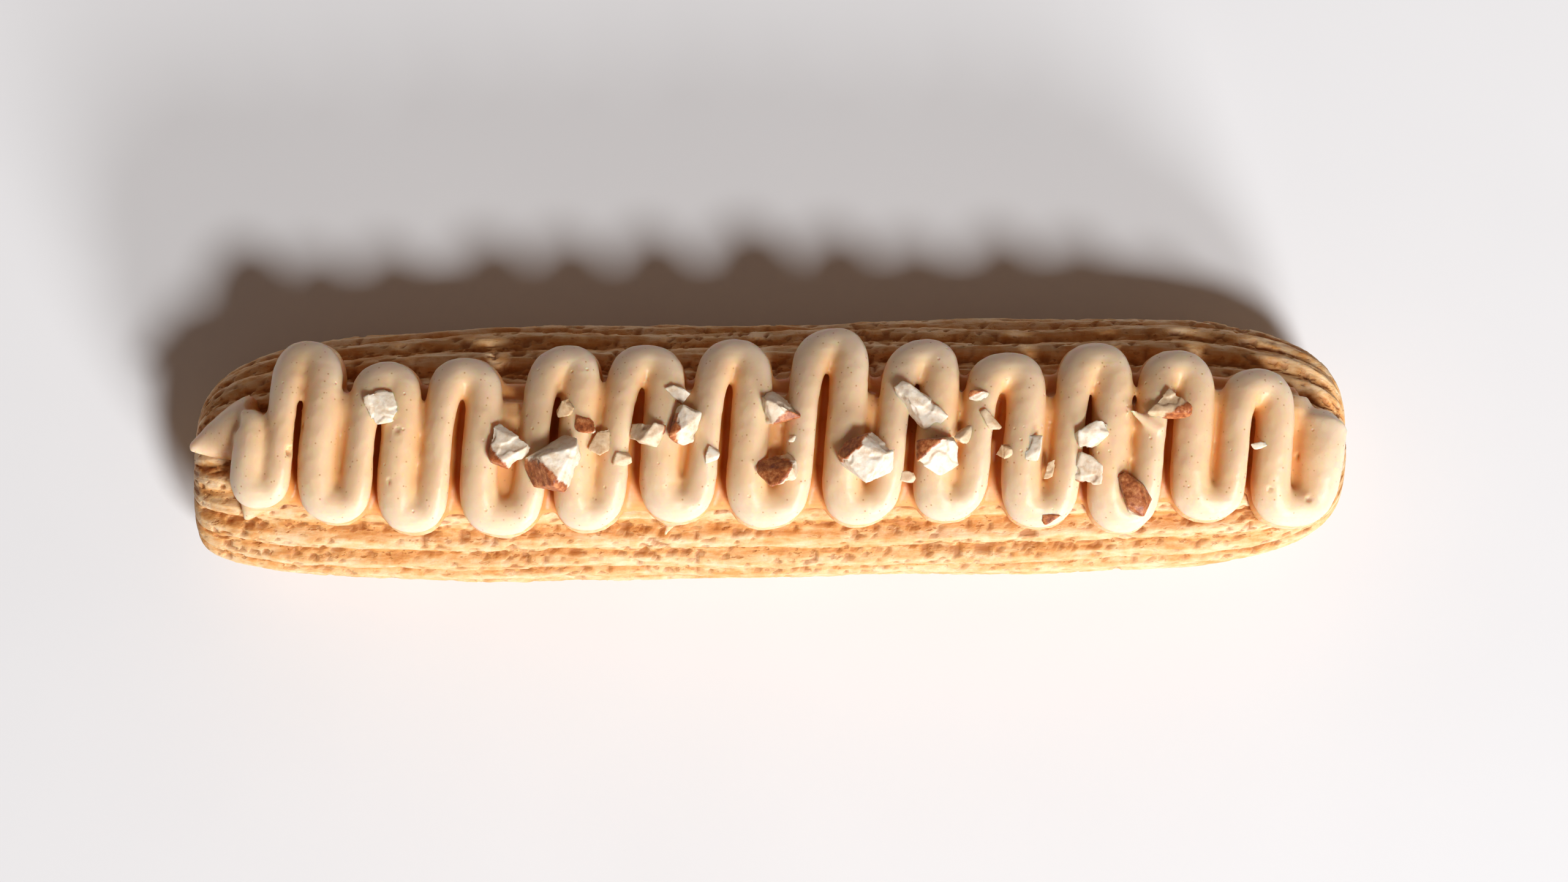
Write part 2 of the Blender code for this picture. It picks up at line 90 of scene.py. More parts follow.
FOOT_HALF_WIDTH = 2.75 * MM
FOOT_HALF_HEIGHT = 1.7 * MM
CREST_HALF_WIDTH = 2.55 * MM
CREST_HALF_HEIGHT = 2.6 * MM
CREST_LIFT = 2.3 * MM
FOOT = (FOOT_HALF_WIDTH, FOOT_HALF_HEIGHT, 0.0)
CREST = (CREST_HALF_WIDTH, CREST_HALF_HEIGHT, CREST_LIFT)
ROPE_SINK = 1.0 * MM
ARM_WIDTH = (0.68, 0.93)
ARM_LEAN = (0.38, 0.16)
SLANT = 0.09
ROUND_TURN = 0.36
TURNS = (
    (70.4, 5.4),
    (63.7, -7.6), (59.6, 6.7), (53.7, -7.0), (49.6, 8.9), (43.0, -8.5), (40.0, 9.8),
    (32.8, -7.9), (29.1, 8.6), (21.2, -7.2), (19.3, 10.3), (10.3, -7.6), (8.0, 11.8),
    (-0.7, -7.9), (-4.6, 10.3), (-11.4, -7.3), (-15.3, 9.6), (-22.7, -8.3), (-24.8, 9.6),
    (-33.0, -8.9), (-37.9, 8.0), (-43.8, -8.6), (-47.3, 7.5), (-53.2, -7.4), (-57.6, 10.3),
    (-62.7, -5.6), (-65.2, 2.6),
)  # fmt: skip
HIDDEN_RUN = ((0.1, 0.9), (0.22, 0.5))
ROPE_BEGINS = 0.38
BEGIN_SWELL = 1.62
END_TAPER = (0.5, 0.6)
# The cream that fills the inside of each turn: (how far in from the turn, how far below the crest,
# radius) at its two ends, for the near turns and the far ones
NEAR_DISH = ((1.2, 2.0, 2.0), (12.0, 1.2, 2.3))
FAR_DISH = ((0.6, 1.3, 1.9), (3.4, 5.2, 1.5))
USUAL_SPREAD = 10.4
# The bed of cream under the rope, of flat lanes side by side
MAT_ENDS = (-62.0, 65.0)
MAT_LANES = (0.0, -4.5, 4.5)
MAT_HALF_WIDTH = 3.6
MAT_HALF_HEIGHT = 1.6
BROAD_PEAKS = (
    ((-63.4, 2.3, 21.8), (-72.2, -0.4, 21.2), 4.2),
    ((-63.0, -5.6, 22.8), (-65.3, -9.3, 20.6), 2.2),
)
PEAK_SWELL = 1.6
THIN_PEAKS = (
    ((-9.6, -4.6, 28.0), (-13.2, -11.3, 22.3), 1.4),
    ((47.6, 1.2, 29.8), (43.7, 3.8, 30.6), 0.8),
)

# ---- sizes of the finer detail -----------------------------------------------------------------

BUN_COLUMNS = 300  # of these, SOLE_COLUMNS lie under the bun
SOLE_COLUMNS = 40
BUN_RINGS = 325
TUBE_ROUNDNESS = 8
CREAM_GRAIN = 0.33 * MM  # voxel of the cream's skin
CREAM_SMOOTHING = 6
CORE_INSET = 0.9 * MM  # how far the cream reaches below the smooth bun's skin
# The span of the depth measure that paints shade into the cream's hollows
PAINTED_SHADE_SPAN = 1.7 * MM  # how wide the surroundings are that tell a hollow from a crest
BROAD_TIP = 0.35 * MM
THIN_TIP = 0.22 * MM
NUT_GRAIN = 0.16 * MM
CHIP_GRAIN = 0.8 * NUT_GRAIN
NUT_ROUGHNESS = 1.0
CHIP_ROUGHNESS = 0.6

# Bubble holes in the cream that are large enough to see: (x, y) and radius in mm
HOLES = (
    (-58.8, -1.1, 0.62), (-57.4, 1.9, 0.34), (-46.6, -4.9, 0.3), (-61.9, 5.0, 0.3),
    (-45.6, 1.4, 0.4), (61.0, -5.8, 0.35), (66.0, -6.9, 0.35), (64.8, -1.6, 0.3),
)  # fmt: skip

# Where each large piece keeps its brown skin: direction of the skin, how far out it begins (0 is
# the middle, 1 the rim; over 1 is none), and how tan its flesh is
NUT_LOOKS = {
    "nut_01": ((-0.72, 0.62, 0.25), 0.22, 0.05),
    "nut_02": ((0.25, 0.8, -0.5), 0.62, 0.15),
    "nut_03": ((-0.70, 0.68, 0.2), 0.12, 0.12),
    "nut_04": ((-0.45, -0.80, 0.1), 0.05, 0.15),
    "nut_05": ((-0.75, -0.60, 0.0), 0.35, 0.22),
    "nut_06": ((0.45, -0.70, 0.2), 0.35, 0.35),
    "nut_07": ((-0.62, 0.30, 0.72), -0.15, 0.35),
    "nut_08": ((0.72, -0.66, 0.15), 0.12, 0.75),
    "nut_09": ((0.10, 0.25, 0.95), -0.6, 0.5),
    "nut_10": ((0.0, -0.9, -0.3), 0.95, 0.1),
    "nut_11": ((-0.5, -0.7, 0.0), 0.7, 0.3),
    "nut_12": ((-0.85, -0.2, 0.2), 0.3, 0.2),
    "nut_13": ((0.9, 0.1, 0.0), 0.9, 0.6),
    "nut_14": ((0.0, 1.0, 0.0), 1.5, 0.2),
}

# Small chips that lie on the cream: (x, y), (length, width) in mm, turn, tan, skin begins at
CHIPS = (
    ((-25.1, 3.9), (2.6, 2.1), 30, 0.9, 0.8),
    ((-22.6, 1.7), (2.9, 2.2), -20, 0.5, -0.8),
    ((-20.6, -0.2), (3.8, 2.8), 40, 0.8, 0.9),
    ((-18.2, -2.2), (2.6, 2.0), 10, 0.7, 1.5),
    ((-11.4, 6.0), (3.2, 2.0), -35, 0.2, 0.5),
    ((-7.6, -1.6), (2.8, 2.2), 15, 0.1, 0.8),
    ((2.6, 0.3), (1.5, 1.2), 0, 0.4, 1.5),
    ((23.6, 1.0), (2.8, 2.2), 70, 0.7, 0.9),
    ((25.4, 5.4), (2.7, 1.7), -12, 0.3, 0.2),
    ((26.8, 2.3), (4.0, 1.7), -48, 0.7, 1.5),
    ((28.3, -1.2), (2.3, 2.1), 20, 0.8, 1.5),
    ((32.0, -0.7), (3.6, 2.4), 75, 0.1, 1.5),
    ((34.4, -3.3), (3.4, 2.0), 25, 0.8, 0.9),
    ((34.4, -9.6), (2.8, 1.5), -4, 0.4, -0.4),
    ((60.4, -0.4), (4.3, 1.0), 6, 0.05, 1.5),
    ((16.6, -4.4), (2.2, 1.6), -15, 0.6, 1.5),
)
CHIP_HEIGHT = 0.62
CHIP_CORNERS = 10
CHIP_BED = 0.6 * MM

# ---- the bun's form, as in the CAD source -------------------------------------------------------


def fullness(x, side=0.0):
    """How much of its full section the bun has at x. Side is 1 at its far edge, -1 at its near one."""
    far, near = LEFT_END if x < 0 else RIGHT_END
    share = min(1.0, abs(2 * x / BUN_LENGTH))
    full_far = (1 - share ** far[0]) ** (1 / far[1])
    full_near = (1 - share ** near[0]) ** (1 / near[1])
    blend_to_far = (1 + side) / 2
    return full_far * blend_to_far + full_near * (1 - blend_to_far)


def bun_point(x, turn, out=0.0):
    """A point of the bun's smooth skin at x, turned from +Y over the top, moved out by out."""
    across, up = math.cos(turn), math.sin(turn)
    full = fullness(x, across)
    power = CROWN_ROUNDNESS if up > 0 else SOLE_ROUNDNESS
    reach = (abs(across) ** power + abs(up) ** power) ** (-1 / power)
    half_width = BUN_WIDTH / 2 * full + out
    rise = (BUN_HEIGHT - BELLY if up > 0 else BELLY + BASE_SINK) * full + out
    y = BUN_SKEW * x + half_width * reach * across
    return Vector((x, y, BELLY + rise * reach * up))


def crown_height(x, y):
    """Height of the bun's smooth top over (x, y)."""
    aside = y - BUN_SKEW * x
    full = fullness(x, math.copysign(min(1.0, abs(2 * aside / BUN_WIDTH)), aside))
    off_centre = abs(aside) / (BUN_WIDTH / 2 * full + 1e-9)
    top = max(0.0, 1 - min(1.0, off_centre) ** CROWN_ROUNDNESS) ** (1 / CROWN_ROUNDNESS)
    return BELLY + (BUN_HEIGHT - BELLY) * full * top


def swell(x, turn):
    at = Vector((x / SWELL_SPAN, math.cos(turn) * 1.3, math.sin(turn) * 1.3))
    return -SWELL * (0.5 + noise.noise(at))


def groove(x, number):
    wave = 0.75 + 0.5 * noise.noise(Vector((x / (14 * MM), number * 3.7, 0.5)))
    return GROOVE_DEPTH * wave * fullness(x)


# ---- small helpers ------------------------------------------------------------------------------


def smoothstep(low, high, value):
    share = max(0.0, min(1.0, (value - low) / (high - low)))
    return share * share * (3 - 2 * share)


def add_attribute(mesh, name, values):
    layer = mesh.attributes.new(name, "FLOAT", "POINT")
    layer.data.foreach_set("value", np.asarray(values, np.float32))


def points_of(mesh):
    flat = np.empty(len(mesh.vertices) * 3, np.float32)
    mesh.vertices.foreach_get("co", flat)
    return flat.reshape(-1, 3)


def normals_of(mesh):
    flat = np.empty(len(mesh.vertices) * 3, np.float32)
    mesh.vertex_normals.foreach_get("vector", flat)
    return flat.reshape(-1, 3)


def set_points(mesh, points):
    mesh.vertices.foreach_set("co", np.asarray(points, np.float32).ravel())
    mesh.update()


def new_object(name, mesh):
    made = bpy.data.objects.new(name, mesh)
    bpy.context.scene.collection.objects.link(made)
    return made


def apply_modifiers(target):
    bpy.context.view_layer.update()
    graph = bpy.context.evaluated_depsgraph_get()
    mesh = bpy.data.meshes.new_from_object(target.evaluated_get(graph))
    target.modifiers.clear()
    target.data = mesh


def remesh(target, grain, smoothing):
    skin = target.modifiers.new("skin", "REMESH")
    skin.mode = "VOXEL"
    skin.voxel_size = grain
    soften = target.modifiers.new("soften", "SMOOTH")
    soften.factor = 0.5
    soften.iterations = smoothing
    apply_modifiers(target)


def boolean(target, operation, other):
    modifier = target.modifiers.new(operation.lower(), "BOOLEAN")
    modifier.operation = operation
    modifier.solver = "MANIFOLD"
    modifier.object = other
    apply_modifiers(target)
    bpy.data.objects.remove(other)


# ---- the bun ------------------------------------------------------------------------------------


def crust_relief(x, turn, ridge_share, number):
    """(how far the crust lies below the smooth bun, how deep in a groove, how much of a pit)."""
    edge = min(ridge_share, 1 - ridge_share)
    nearest = number if ridge_share < 0.5 else number + 1
    wobble = 0.07 * noise.noise(Vector((x / (3.1 * MM), turn * 9, 2)))
    in_groove = 1 - smoothstep(0.02, 0.42, edge + wobble)
    low = groove(x, nearest) * in_groove
    fibre = noise.noise(Vector((x / (8 * MM), turn * 24, 5)))
    fibre += 0.7 * noise.noise(Vector((x / (3.0 * MM), turn * 44, 8)))
    low += 0.24 * MM * fibre
    cell = noise.noise(Vector((x / (1.25 * MM), turn * 19, 21)))
    cell += 0.5 * noise.noise(Vector((x / (0.7 * MM), turn * 33, 3)))
    patch = noise.noise(Vector((x / (9 * MM), turn * 3.4, 14)))
    pit = smoothstep(0.22, 0.46, cell + 0.45 * patch + 0.30 * in_groove - 0.12)
    low += 0.42 * MM * pit
    low += 0.08 * MM * noise.noise(Vector((x / (0.5 * MM), turn * 50, 30)))
    crack = abs(noise.noise(Vector((x / (13 * MM), turn * 5, 60))))
    low += 0.35 * MM * (1 - smoothstep(0.0, 0.045, crack)) * in_groove
    return low, in_groove, pit


def ball(columns, rings):
    made = bmesh.new()
    bmesh.ops.create_uvsphere(made, u_segments=columns, v_segments=rings, radius=1)
    places = []
    for vertex in made.verts:
        polar = math.acos(max(-1.0, min(1.0, vertex.co.z)))
        turn = math.atan2(vertex.co.y, vertex.co.x) % math.tau
        places.append((vertex, polar / math.pi, round(turn / math.tau * columns) % columns))
    return made, places


def sole_relief(x, turn):
    """The same three for the sole, which has no grooves."""
    low = 0.05 * MM * noise.noise(Vector((x / (2 * MM), turn * 8, 0)))
    pit = smoothstep(0.3, 0.6, noise.noise(Vector((x / MM, turn * 14, 1))))
    return low + 0.1 * MM * pit, 0.0, pit


def brownness(x, turn, near_tray):
    """How far the crust is baked there, from 0 to 1."""
    brown = 0.5 + 0.5 * noise.noise(Vector((x / (9 * MM), turn * 2.2, 40)))
    brown += 0.35 * noise.noise(Vector((x / (3 * MM), turn * 6, 41)))
    if near_tray:
        brown += 0.5
    return max(0.0, min(1.0, brown))


def column_turn(column):
    """(turn of a column of vertices round the bun, whether it lies on the sole)."""
    top_columns = BUN_COLUMNS - SOLE_COLUMNS
    if column <= top_columns:
        return RIDGE_START + RIDGE_ARC * column / top_columns, False
    share = (column - top_columns) / SOLE_COLUMNS
    return RIDGE_START + RIDGE_ARC + (math.tau - RIDGE_ARC) * share, True


def make_crust():
    made, places = ball(BUN_COLUMNS, BUN_RINGS)
    grooves, pits, browns = [], [], []
    for vertex, polar, column in places:
        spread = polar + 0.42 * math.sin(math.tau * polar) / math.tau
        x = BUN_LENGTH / 2 * math.cos(math.pi * spread)
        turn, on_sole = column_turn(column)
        along = (turn - RIDGE_START) / RIDGE_ARC * RIDGES
        turn += GROOVE_WANDER * noise.noise(Vector((x / (22 * MM), turn * 1.5, 9)))
        if on_sole:
            low, in_groove, pit = sole_relief(x, turn)
        else:
            low, in_groove, pit = crust_relief(x, turn, along % 1, int(along))
            low -= swell(x, turn)
        place = bun_point(x, turn, -low)
        browns.append(brownness(x, turn, on_sole or place.z < 2 * MM))
        place.z = max(0.0, place.z)
        vertex.co = place
        grooves.append(in_groove)
        pits.append(pit)
    mesh = bpy.data.meshes.new("crust")
    made.to_mesh(mesh)
    made.free()
    add_attribute(mesh, "groove", grooves)
    add_attribute(mesh, "pit", pits)
    add_attribute(mesh, "brown", browns)
    mesh.shade_smooth()
    return new_object("crust", mesh)


def bun_core(inset):
    """The smooth bun, smaller by inset: what the cream's underside is cut away with."""
    columns, rings = 48, 40
    made, places = ball(columns, rings)
    for vertex, polar, column in places:
        x = (BUN_LENGTH / 2 - inset) * math.cos(math.pi * polar)
        vertex.co = bun_point(x, math.tau * column / columns, -inset)
    mesh = bpy.data.meshes.new("bun_core")
    made.to_mesh(mesh)
    made.free()
    return new_object("bun_core", mesh)


# ---- the cream ----------------------------------------------------------------------------------


def pass_point(number, share):
    """(x, y) of the rope's centre line on pass number, from one turn (share 0) to the next."""
    (x0, y0), (x1, y1) = TURNS[number], TURNS[number + 1]
    start, end = x0 - SLANT * y0, x1 - SLANT * y1
    swing = math.cos(math.pi * share)
    swing += ROUND_TURN * (swing - swing**3)
    y = (y0 + y1) / 2 + (y0 - y1) / 2 * swing
    x = start + (end - start) * (share + math.sin(math.tau * share) / math.tau)
    return (x + SLANT * y) * MM, y * MM


def rope_thickness(number, share):
    thick = 1 + 0.05 * noise.noise(Vector((number + share, 4.2, 0)) * 0.9)
    if number == 0:
        thick *= BEGIN_SWELL - (BEGIN_SWELL - 1) * share
    if number == len(TURNS) - 2:
        begins, end_share = END_TAPER
        thick *= 1 - (1 - end_share) * max(0.0, (share - begins) / (1 - begins)) ** 1.5
    return thick


def arm_width(number, share):
    """The share of the rope's usual width: 1 at the turns and all along the first pass."""
    if number == 0:
        return 1.0
    return 1 + (ARM_WIDTH[number % 2] - 1) * math.sin(math.pi * share) ** 2


def tube(name, points, radii):
    curve = bpy.data.curves.new(name, "CURVE")
    curve.dimensions = "3D"
    curve.bevel_depth = 1.0
    curve.bevel_resolution = TUBE_ROUNDNESS
    curve.use_fill_caps = True
    spline = curve.splines.new("POLY")
    spline.points.add(len(points) - 1)
    for point, place, radius in zip(spline.points, points, radii):
        point.co = (*place, 1)
        point.radius = radius
    guide = new_object(name + "_guide", curve)
    bpy.context.view_layer.update()
    graph = bpy.context.evaluated_depsgraph_get()
    mesh = bpy.data.meshes.new_from_object(guide.evaluated_get(graph))
    bpy.data.objects.remove(guide)
    cleaned = bmesh.new()
    cleaned.from_mesh(mesh)
    bmesh.ops.remove_doubles(cleaned, verts=cleaned.verts, dist=0.01 * MM)
    bmesh.ops.recalc_face_normals(cleaned, faces=cleaned.faces)
    cleaned.to_mesh(mesh)
    cleaned.free()
    return mesh


def section_matrix(number, half_width, half_height):
    """Turns a round tube into a section of those sizes that leans to +X."""
    stretch = half_height / half_width
    made = Matrix.Identity(4)
    made[2][2] = stretch
    made[0][2] = ARM_LEAN[number % 2] * stretch
    return made


def rope_centre(number, share, half_height, lift):
    x, y = pass_point(number, share)
    thick = rope_thickness(number, share)
    level = 2.4 - 0.4 * thick - arm_width(number, share) - max(0.0, thick - 1)
    z = crown_height(x, y * 0.96) + half_height * level + lift - ROPE_SINK
    return Vector((x, y, z))


def rope_pass(number, half_width, half_height, lift):
    """One swing of the bag: the flat foot of the rope, or the taller crest that stands on it."""
    last = len(TURNS) - 2
    begins = ROPE_BEGINS if number == 0 else 0.0
    steps = 36
    shares = [begins + (1 - begins) * i / steps for i in range(steps + 1)]
    centres = [rope_centre(number, share, half_height, lift) for share in shares]
    radii = [half_width * rope_thickness(number, share) * arm_width(number, share) for share in shares]
    if number == 0:
        centres.insert(0, centres[0] + Vector((0.4, 1.3, -0.7)) * MM)
        radii.insert(0, radii[0] * 0.55)
    else:
        for share, radius in HIDDEN_RUN:
            centres.insert(0, rope_centre(number - 1, 1 - share, half_height, lift))
            radii.insert(0, half_width * radius)
    if number < last:
        for share, radius in HIDDEN_RUN:
            centres.append(rope_centre(number + 1, share, half_height, lift))
            radii.append(half_width * radius)
    shape = section_matrix(number, half_width, half_height)
    back = shape.inverted()
    mesh = tube(f"pass_{number:02d}", [back @ centre for centre in centres], radii)
    mesh.transform(shape)
    return mesh


def dish(number):
    """The cream inside one turn, from just under its crest inwards."""
    x, y = TURNS[number]
    near = y < 0
    inward = 1 if near else -1
    crest = rope_centre(number, 0.0, CREST_HALF_HEIGHT, CREST_LIFT).z + CREST_HALF_HEIGHT
    spread = (TURNS[number - 1][0] - TURNS[number + 1][0]) / USUAL_SPREAD
    ends, widths = [], []
    for reach, below, radius in NEAR_DISH if near else FAR_DISH:
        radius *= spread
        along = inward * reach
        end = Vector((x + SLANT * along, y + along, 0)) * MM
        end.z = crest - (below + radius) * MM
        ends.append(end)
        widths.append(radius * MM)
    down = (ends[1] - ends[0]).normalized()
    centres = [ends[0] - down * widths[0] * 0.7, *ends, ends[1] + down * widths[1] * 0.7]
    radii = [widths[0] * 0.6, *widths, widths[1] * 0.6]
    return tube(f"dish_{number:02d}", centres, radii)


def mat_lane(aside):
    begin, end = MAT_ENDS
    steps = 40
    flatten = Matrix.Diagonal((1, 1, MAT_HALF_HEIGHT / MAT_HALF_WIDTH, 1))
    centres, radii = [], []
    for i in range(steps + 1):
        share = i / steps
        x = (begin + (end - begin) * share) * MM
        y = BUN_SKEW * x + aside * MM
        centres.append(flatten.inverted() @ Vector((x, y, crown_height(x, y))))
        taper = min(1.0, 0.45 + 5 * min(share, 1 - share))
        radii.append(MAT_HALF_WIDTH * MM * taper)
    mesh = tube("mat_lane", centres, radii)
    mesh.transform(flatten)
    return mesh


def peak(name, root, tip, radius, tip_radius):
    root, tip = Vector(root) * MM, Vector(tip) * MM
    sag = Vector((0, 0, -0.06)) * (tip - root).length
    steps = 14
    centres, radii = [], []
    for i in range(steps + 1):
        share = i / steps
        centres.append(root.lerp(tip, share) + sag * math.sin(math.pi * share))
        radii.append(tip_radius + (radius * MM - tip_radius) * (1 - share**PEAK_SWELL))
    return tube(name, centres, radii)


def joined(name, meshes):
    made = bmesh.new()
    for mesh in meshes:
        made.from_mesh(mesh)
    mesh = bpy.data.meshes.new(name)
    made.to_mesh(mesh)
    made.free()
    return new_object(name, mesh)


def ruffle(mesh):
    """Slow unevenness of the piped surface, and the larger bubble holes."""
    points, normals = points_of(mesh), normals_of(mesh)
    moved = points.copy()
    for i, (point, normal) in enumerate(zip(points, normals)):
        at = Vector(point)
        out = 0.10 * noise.noise(at / (3.2 * MM)) + 0.05 * noise.noise(at / (1.2 * MM))
        moved[i] = point + normal * out * MM
    holes = []
    tree = BVHTree.FromPolygons(
        [Vector(p) for p in points], [tuple(f.vertices) for f in mesh.polygons]
    )
    for x, y, radius in HOLES:
        hit = tree.ray_cast(Vector((x * MM, y * MM, 1)), Vector((0, 0, -1)))[0]
        if hit:
            holes.append((np.array(hit), radius * MM))
    for centre, radius in holes:
        away = np.linalg.norm(points - centre, axis=1) / radius
        dent = np.clip(1 - away**2, 0, 1) ** 0.7 * radius * 1.3
        moved -= normals * dent[:, None]
    set_points(mesh, moved)


def cavity_of(points, ground, span):
    """How far each point lies below the mean height of what is around it, in millimetres; the cream's
    painted shade follows it.
    """
    cell = 0.5 * MM
    every = np.vstack([points, ground])
    low = every.min(axis=0)
    places = ((every[:, :2] - low[:2]) / cell).astype(int) + 1
    heights = np.zeros(places.max(axis=0) + 2)
    np.maximum.at(heights, (places[:, 0], places[:, 1]), every[:, 2])
    weights = (heights > 0).astype(float)
    reach = int(3 * span / cell)
    kernel = np.exp(-0.5 * (np.arange(-reach, reach + 1) * cell / span) ** 2)
    for axis in (0, 1):
        heights = np.apply_along_axis(np.convolve, axis, heights, kernel, "same")
        weights = np.apply_along_axis(np.convolve, axis, weights, kernel, "same")
    mean = heights / np.maximum(weights, 1e-6)
    places = places[: len(points)]
    return (mean[places[:, 0], places[:, 1]] - points[:, 2]) / MM


def make_cream(crust):
    meshes = []
    for number in range(len(TURNS) - 1):
        meshes.append(rope_pass(number, *FOOT))
        meshes.append(rope_pass(number, *CREST))
    meshes += [dish(number) for number in range(1, len(TURNS) - 2)]
    meshes += [mat_lane(aside) for aside in MAT_LANES]
    for i, (root, tip, radius) in enumerate(BROAD_PEAKS):
        meshes.append(peak(f"broad_peak_{i}", root, tip, radius, BROAD_TIP))
    for i, (root, tip, radius) in enumerate(THIN_PEAKS):
        meshes.append(peak(f"thin_peak_{i}", root, tip, radius, THIN_TIP))
    cream = joined("piped_cream", meshes)
    remesh(cream, CREAM_GRAIN, CREAM_SMOOTHING)
    ruffle(cream.data)
    boolean(cream, "DIFFERENCE", bun_core(CORE_INSET))
    # Depth below the surroundings, kept for the painted shade in the cream's hollows
    painted_shade_depth = cavity_of(points_of(cream.data), points_of(crust.data), PAINTED_SHADE_SPAN)
    add_attribute(cream.data, "painted_shade_depth", painted_shade_depth)
    cream.data.shade_smooth()
    return cream


# ---- the nuts -----------------------------------------------------------------------------------


def hull_of(size, turn, corners, seed):
    """The hull of random corners in a box of that size, centre at 0, as the CAD source makes it."""
    draw = random.Random(seed)
    half = [side / 2 for side in size]
    found = []
    for _ in range(corners):
        corner = Vector([draw.uniform(-1, 1) for _ in range(3)])
        found.append(corner / (sum(abs(c) ** 4 for c in corner)) ** 0.25)
    reach = [max(abs(corner[axis]) for corner in found) for axis in range(3)]
    made = bmesh.new()
    for corner in found:
        made.verts.new([c * h / r for c, h, r in zip(corner, half, reach)])
    hull = bmesh.ops.convex_hull(made, input=made.verts)
    loose = {v for v in hull["geom_interior"] if isinstance(v, bmesh.types.BMVert)}
    bmesh.ops.delete(made, geom=list(loose), context="VERTS")
    bmesh.ops.recalc_face_normals(made, faces=made.faces)
    mesh = bpy.data.meshes.new("hull")
    made.to_mesh(mesh)
    made.free()
    mesh.transform(Matrix.Rotation(math.radians(turn), 4, "Z"))
    return mesh


def break_up(mesh, centre, half, skin_way, skin_from, tan, seed, rough):
    """Roughens the broken faces of a piece of nut and marks where its brown skin is."""
    points, normals = points_of(mesh), normals_of(mesh)
    skin_way = Vector(skin_way).normalized()
    reach = sum(abs(c) * h for c, h in zip(skin_way, half)) * 0.8
    moved, skins = points.copy(), []
    shift = Vector((seed * 1.7, seed * 0.9, seed * 2.3))
    for i, (point, normal) in enumerate(zip(points, normals)):
        at = Vector(point)
        out_there = (at - centre).dot(skin_way) / reach
        ragged = 0.16 * noise.noise(at / (1.1 * MM) + shift)
        ragged += 0.08 * noise.noise(at / (0.35 * MM) + shift)
        facing = 0.35 * Vector(normal).dot(skin_way)
        skin = smoothstep(-0.04, 0.04, out_there + ragged + facing - 0.35 - skin_from)
        chip = smoothstep(0.12, 0.2, noise.noise(at / (1.9 * MM) + shift))
        broken = noise.noise(at / (0.8 * MM) + shift)
        crumbs = noise.noise(at / (0.3 * MM) + shift)
        out = (0.06 * broken + 0.03 * crumbs - 0.22 * chip) * (1 - 0.8 * skin)
        moved[i] = point + normal * (out + 0.07 * skin) * MM * rough
        skins.append(skin)
    set_points(mesh, moved)
    add_attribute(mesh, "skin", skins)
    add_attribute(mesh, "tan", [tan] * len(points))


def make_nut(node, finish):
    low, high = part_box(node.name)
    centre, half = (low + high) / 2, (high - low) / 2
    piece = new_object("hazel_" + node.name, node.data.copy())
    piece.data.materials.clear()
    remesh(piece, NUT_GRAIN, 1)
    skin_way, skin_from, tan = NUT_LOOKS[node.name]
    seed = int(node.name[-2:])
    break_up(piece.data, centre, half, skin_way, skin_from, tan, seed, NUT_ROUGHNESS)
    piece.data.materials.append(finish)
    piece.data.shade_smooth()
    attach(piece, "root")
    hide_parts(node.name)


def surface_under(tree, x, y, reach):
    """Height that a chip of that reach rests at: the highest of a few points under it."""
    heights = []
    for angle in range(0, 360, 45):
        for share in (0.0, 0.75):
            ahead = Vector((math.cos(math.radians(angle)), math.sin(math.radians(angle)), 0))
            above = Vector((x, y, 2 * BUN_HEIGHT)) + ahead * reach * share
            hit = tree.ray_cast(above, Vector((0, 0, -1)))[0]
            if hit:
                heights.append(hit.z)
    return max(heights)


def make_chips(cream, finish):
    tree = BVHTree.FromObject(cream, bpy.context.evaluated_depsgraph_get())
    pieces = []
    for i, ((x, y), (length, width), turn, tan, skin_from) in enumerate(CHIPS):
        size = (length * MM, width * MM, width * CHIP_HEIGHT * MM)
        rest = surface_under(tree, x * MM, y * MM, size[1] / 2)
        centre = Vector((x * MM, y * MM, rest + size[2] / 2 - CHIP_BED))
        chip = new_object(f"chip_{i:02d}", hull_of(size, turn, CHIP_CORNERS, 100 + i))
        chip.data.transform(Matrix.Translation(centre))
        remesh(chip, CHIP_GRAIN, 1)
        half = Vector(size) / 2
        draw = random.Random(i)
        way = Vector((draw.uniform(-1, 1), draw.uniform(-1, 1), draw.uniform(0.2, 0.9)))
        break_up(chip.data, centre, half, way, skin_from, tan, 30 + i, CHIP_ROUGHNESS)
        pieces.append(chip)
    chips = joined("hazel_chips", [chip.data for chip in pieces])
    for chip in pieces:
        bpy.data.objects.remove(chip)
    chips.data.materials.append(finish)
    chips.data.shade_smooth()
    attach(chips, "root")


# ---- materials ----------------------------------------------------------------------------------


